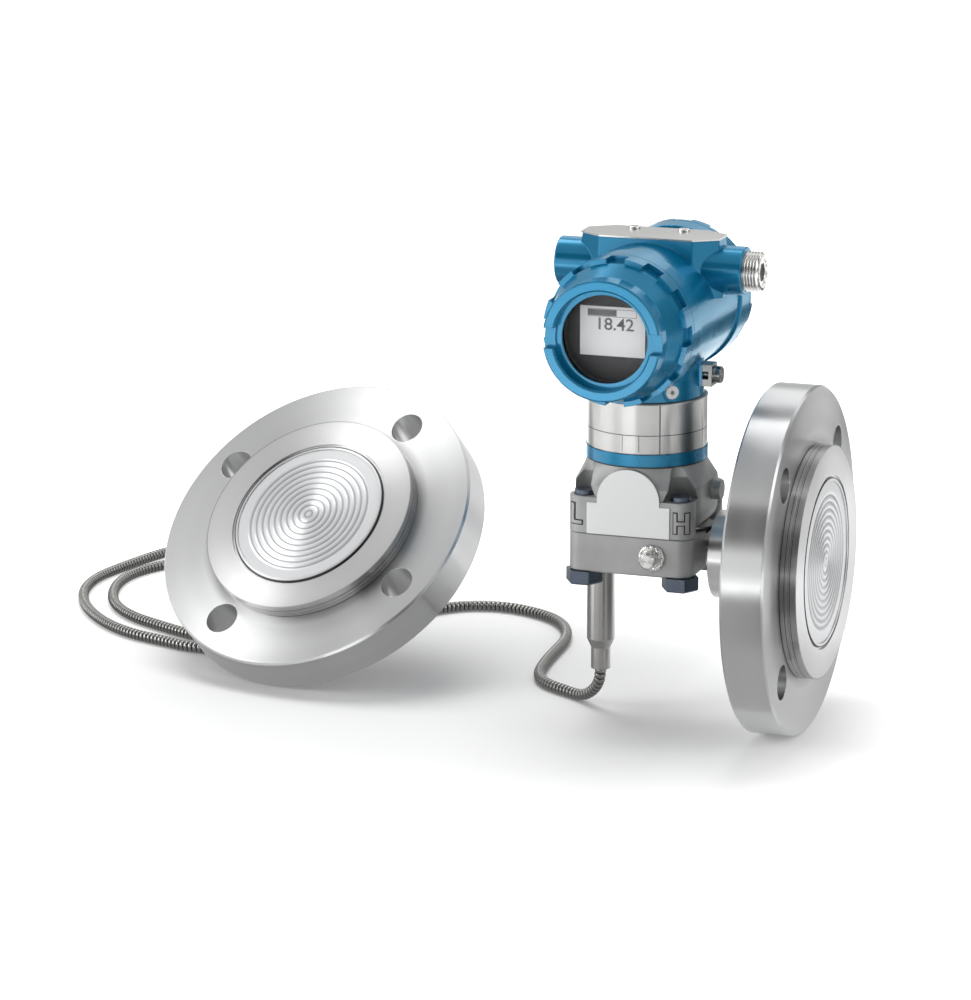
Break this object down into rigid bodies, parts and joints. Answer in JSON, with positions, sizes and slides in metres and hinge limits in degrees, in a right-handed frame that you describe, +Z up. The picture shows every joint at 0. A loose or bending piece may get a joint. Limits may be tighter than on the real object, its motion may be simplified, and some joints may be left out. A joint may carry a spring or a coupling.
{
  "type": "differential pressure level transmitter",
  "caption": "Level transmitter with a turnable electronics housing, one directly mounted and one remote flanged diaphragm seal, and an armoured capillary.",
  "frame": {"origin": "centre of the direct flange's front face, which is the centre of its bolt circle", "axes": "+X out of the direct flange's front face along its bolt circle's axis, +Z up along the transmitter's own axis, -Y towards the display"},
  "size_m": [0.5055, 0.3717, 0.2695],
  "materials": {
    "steel_flange": "turned",
    "stainless": "satin",
    "diaphragm_steel": "bright",
    "cast_stainless": "sand cast",
    "bolt_steel": "dark plated",
    "brushed_band": "brushed",
    "blue_paint": "satin",
    "black_rubber": "matt",
    "black_plastic": "matt",
    "screw_plastic": "gloss",
    "board_green": "gloss",
    "lcd_face": "gloss",
    "window_glass": "clear"
  },
  "bodies": {
    "transmitter_base": {"direct_seal_body": "stainless", "direct_diaphragm": "diaphragm_steel", "remote_seal_body": "stainless", "remote_diaphragm": "diaphragm_steel", "connection_tube": "stainless", "process_flange": "cast_stainless", "sensor_body": "cast_stainless", "isolating_diaphragms": "diaphragm_steel", "port_gaskets": "black_rubber", "flange_bolts": "bolt_steel", "fill_plug": "stainless", "sensor_neck": "stainless", "collar_ring": "blue_paint", "neck_band": "brushed_band", "sensor_cell": "stainless", "sensor_board": "board_green", "support_tube": "stainless", "remote_support_tube": "stainless", "capillary_armour": "stainless"},
    "direct_flange_ring": {"direct_flange": "steel_flange"},
    "remote_flange_ring": {"remote_flange": "steel_flange"},
    "electronics_housing": {"housing": "blue_paint", "display_module": "black_plastic", "lcd_panel": "lcd_face", "electronics_module": "black_plastic", "terminal_block": "black_plastic", "terminal_screws": "stainless", "top_tag": "brushed_band", "top_tag_screws": "stainless", "conduit_plug": "stainless", "ground_clamp": "stainless", "ground_screw": "stainless", "rotation_set_screw": "screw_plastic"},
    "front_seal_ring": {"front_o_ring": "black_rubber"},
    "front_cover_group": {"front_cover": "blue_paint", "window_glass": "window_glass", "window_gasket": "black_rubber", "window_retainer": "stainless"},
    "rear_seal_ring": {"rear_o_ring": "black_rubber"},
    "rear_cover_group": {"rear_cover": "blue_paint"}
  },
  "joints": [
    {"name": "direct_flange_swivel", "type": "hinge", "parent": "transmitter_base", "child": "direct_flange_ring", "pos_m": [0, 0, 0], "axis": [1, 0, 0], "continuous": true},
    {"name": "remote_flange_swivel", "type": "hinge", "parent": "transmitter_base", "child": "remote_flange_ring", "pos_m": [-0.3007, 0.0371, -0.01158], "axis": [-0.1733, -0.6772, 0.7151], "continuous": true},
    {"name": "housing_rotation", "type": "hinge", "parent": "transmitter_base", "child": "electronics_housing", "pos_m": [-0.0925, 0, 0.131], "axis": [0, 0, 1], "range_deg": [-180, 180]},
    {"name": "front_cover_travel", "type": "slide", "parent": "electronics_housing", "child": "front_seal_ring", "axis": [0, -1, 0], "range_m": [0, 0.01201]},
    {"name": "front_cover_turn", "type": "hinge", "parent": "front_seal_ring", "child": "front_cover_group", "pos_m": [-0.0925, -0.0475, 0.131], "axis": [0, -1, 0], "range_deg": [0, 2160]},
    {"name": "rear_cover_travel", "type": "slide", "parent": "electronics_housing", "child": "rear_seal_ring", "axis": [0, 1, 0], "range_m": [0, 0.01201]},
    {"name": "rear_cover_turn", "type": "hinge", "parent": "rear_seal_ring", "child": "rear_cover_group", "pos_m": [-0.0925, 0.059, 0.131], "axis": [0, 1, 0], "range_deg": [0, 2160]}
  ],
  "couplings": [
    {"joint": "front_cover_travel", "follows": "front_cover_turn", "m_per_rad": 0.00031831},
    {"joint": "rear_cover_travel", "follows": "rear_cover_turn", "m_per_rad": 0.00031831}
  ]
}
